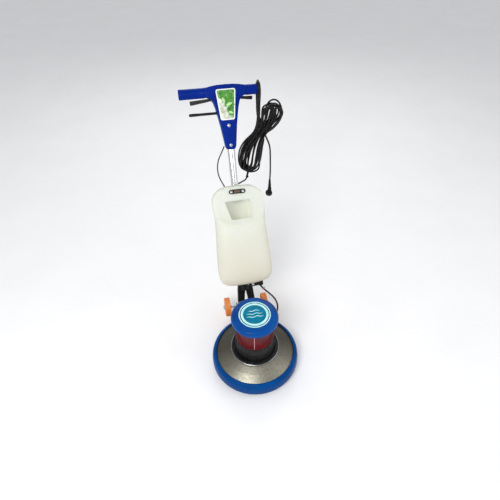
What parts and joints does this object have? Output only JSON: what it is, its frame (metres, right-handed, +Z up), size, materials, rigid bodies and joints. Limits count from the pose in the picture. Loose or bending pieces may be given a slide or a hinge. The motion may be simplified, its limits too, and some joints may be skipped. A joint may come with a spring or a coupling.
{
  "type": "rotary floor machine",
  "caption": "Single-disc rotary floor scrubber: round deck, upright motor, tilting handle with solution tank, rear wheels, T-head with triggers and hung mains cord.",
  "frame": {"origin": "on the floor, under the middle of the footprint without the free cords", "axes": "+Z up, +X to the right seen from in front of the motor, +Y towards the operator and the leaning handle"},
  "size_m": [0.5343, 1.0879, 1.1519],
  "materials": {
    "cap_blue": "gloss moulded",
    "head_blue": "fine textured moulding",
    "bumper_blue": "satin moulding",
    "black_paint": "semi-gloss paint",
    "black_plastic": "satin",
    "cord_rubber": "matte",
    "deck_metal": "galvanised, speckled",
    "steel": "machined",
    "chrome": "polished",
    "motor_red": "gloss enamel",
    "copper": "lacquered winding",
    "lamination": "stacked steel laminations",
    "tank_white": "translucent polyethylene",
    "wheel_orange": "matte",
    "bristle": "nylon tufts",
    "block_blue": "moulded",
    "hose_dark": "smooth"
  },
  "bodies": {
    "deck": {"bumper_ring": "bumper_blue", "deck_plate": "deck_metal", "gearcase": "black_paint", "flange_ring": "black_paint", "output_bearing": "steel", "gearcase_cover": "black_paint", "lower_motor_bearing": "steel", "ring_gear": "steel", "stator_shell": "motor_red", "stator_core": "lamination", "stator_winding": "copper", "upper_end_shield": "black_paint", "upper_motor_bearing": "steel", "motor_cap": "cap_blue", "terminal_box": "black_plastic", "run_capacitor": "black_plastic", "motor_lead_gland": "black_plastic", "rear_bracket": "black_paint", "pivot_pin": "steel", "wheel_axle": "steel", "hose_inlet": "black_plastic"},
    "brush": {"bristle_ring": "bristle", "brush_block": "block_blue", "clutch_plate": "black_plastic", "drive_hub": "steel", "planet_carrier": "steel"},
    "rotor": {"motor_shaft": "steel", "rotor_core": "lamination", "cooling_fan": "black_plastic", "sun_pinion": "steel"},
    "planet_1": {"planet_gear_1": "steel"},
    "planet_2": {"planet_gear_2": "steel"},
    "planet_3": {"planet_gear_3": "steel"},
    "left_wheel": {"wheel_left": "wheel_orange"},
    "right_wheel": {"wheel_right": "wheel_orange"},
    "handle": {"fork": "black_paint", "handle_pole": "chrome", "head_front_shell": "head_blue", "head_rear_shell": "head_blue", "micro_switch": "black_plastic", "head_screw_upper": "chrome", "head_screw_lower": "chrome", "solution_tank": "tank_white", "tank_clamp_upper": "black_paint", "tank_clamp_lower": "black_paint", "tank_hanger_plate": "steel", "water_valve": "black_plastic", "valve_cable": "cord_rubber", "water_hose": "hose_dark", "cord_gland": "black_plastic", "mains_cord_tail": "cord_rubber", "mains_cord_saddle": "cord_rubber", "mains_cord_hank": "cord_rubber", "mains_cord_lead": "cord_rubber", "mains_plug": "cord_rubber"},
    "left_trigger": {"switch_trigger_left": "black_plastic"},
    "right_trigger": {"switch_trigger_right": "black_plastic"},
    "lever": {"water_lever": "black_plastic"},
    "plunger": {"valve_plunger": "steel"}
  },
  "joints": [
    {"name": "handle_tilt", "type": "hinge", "parent": "deck", "child": "handle", "pos_m": [0, -0.0715, 0.105], "axis": [-1, 0, 0], "range_deg": [-16, 40], "deforming": ["water_hose"]},
    {"name": "brush_spin", "type": "hinge", "parent": "deck", "child": "brush", "pos_m": [0, -0.3165, 0], "axis": [0, 0, 1], "continuous": true},
    {"name": "rotor_spin", "type": "hinge", "parent": "deck", "child": "rotor", "pos_m": [0, -0.3165, 0], "axis": [0, 0, 1], "continuous": true},
    {"name": "planet_1_spin", "type": "hinge", "parent": "brush", "child": "planet_1", "pos_m": [0, -0.2823, 0.146], "axis": [0, 0, 1], "continuous": true},
    {"name": "planet_2_spin", "type": "hinge", "parent": "brush", "child": "planet_2", "pos_m": [-0.02962, -0.3336, 0.146], "axis": [0, 0, 1], "continuous": true},
    {"name": "planet_3_spin", "type": "hinge", "parent": "brush", "child": "planet_3", "pos_m": [0.02962, -0.3336, 0.146], "axis": [0, 0, 1], "continuous": true},
    {"name": "left_wheel_roll", "type": "hinge", "parent": "deck", "child": "left_wheel", "pos_m": [0, -0.0265, 0.095], "axis": [1, 0, 0], "continuous": true},
    {"name": "right_wheel_roll", "type": "hinge", "parent": "deck", "child": "right_wheel", "pos_m": [0, -0.0265, 0.095], "axis": [1, 0, 0], "continuous": true},
    {"name": "left_trigger_squeeze", "type": "hinge", "parent": "handle", "child": "left_trigger", "pos_m": [-0.038, 0.4925, 1.08188], "axis": [0, 0.866, -0.5], "range_deg": [0, 3], "stiffness_Nm_per_rad": 1.5, "springref_deg": -6.88},
    {"name": "right_trigger_squeeze", "type": "hinge", "parent": "handle", "child": "right_trigger", "pos_m": [0.038, 0.4925, 1.08188], "axis": [0, -0.866, 0.5], "range_deg": [0, 3], "stiffness_Nm_per_rad": 1.5, "springref_deg": -6.88},
    {"name": "water_lever_squeeze", "type": "hinge", "parent": "handle", "child": "lever", "pos_m": [-0.038, 0.457, 1.02039], "axis": [0, 0.866, -0.5], "range_deg": [0, 9], "stiffness_Nm_per_rad": 1.5, "springref_deg": -6.88},
    {"name": "valve_plunger_slide", "type": "slide", "parent": "handle", "child": "plunger", "axis": [-1, 0, 0], "range_m": [0, 0.006]}
  ],
  "couplings": [
    {"joint": "rotor_spin", "follows": "brush_spin", "ratio": 9},
    {"joint": "planet_1_spin", "follows": "brush_spin", "ratio": -2.2857},
    {"joint": "planet_2_spin", "follows": "brush_spin", "ratio": -2.2857},
    {"joint": "planet_3_spin", "follows": "brush_spin", "ratio": -2.2857},
    {"joint": "valve_plunger_slide", "follows": "water_lever_squeeze", "m_per_rad": 0.038}
  ]
}
